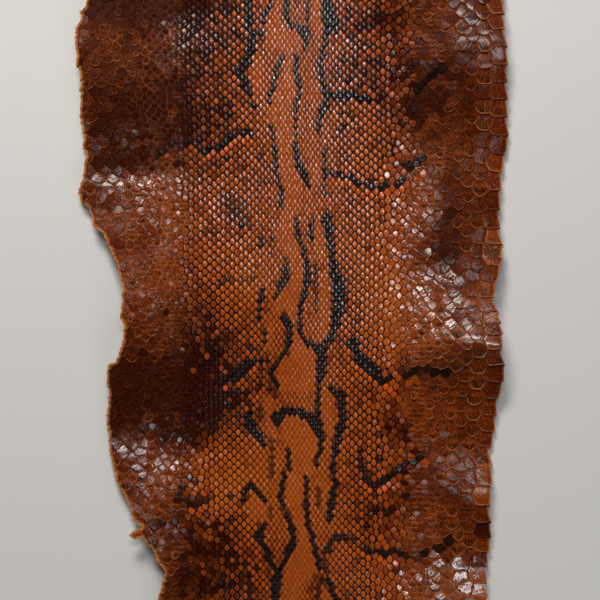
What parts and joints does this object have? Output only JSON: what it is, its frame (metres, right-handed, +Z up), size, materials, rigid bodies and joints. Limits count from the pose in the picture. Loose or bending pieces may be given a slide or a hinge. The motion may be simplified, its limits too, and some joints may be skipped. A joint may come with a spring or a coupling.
{
  "type": "python skin",
  "caption": "Length of dressed python skin lying scales up, with soft folds along its flanks, a row of belly scutes on one edge and a torn edge on the other.",
  "frame": {"origin": "centre of the skin's outline, on the surface that it lies on", "axes": "+Z up out of the scaled side, +Y along the spine towards the head end, +X towards the edge with the belly scutes"},
  "size_m": [0.347, 0.55, 0.0256],
  "materials": {
    "dressed_skin": "dyed red-brown and orange, varnished to a high gloss, dark brown markings"
  },
  "bodies": {
    "root": {"skin": "dressed_skin"}
  },
  "joints": []
}
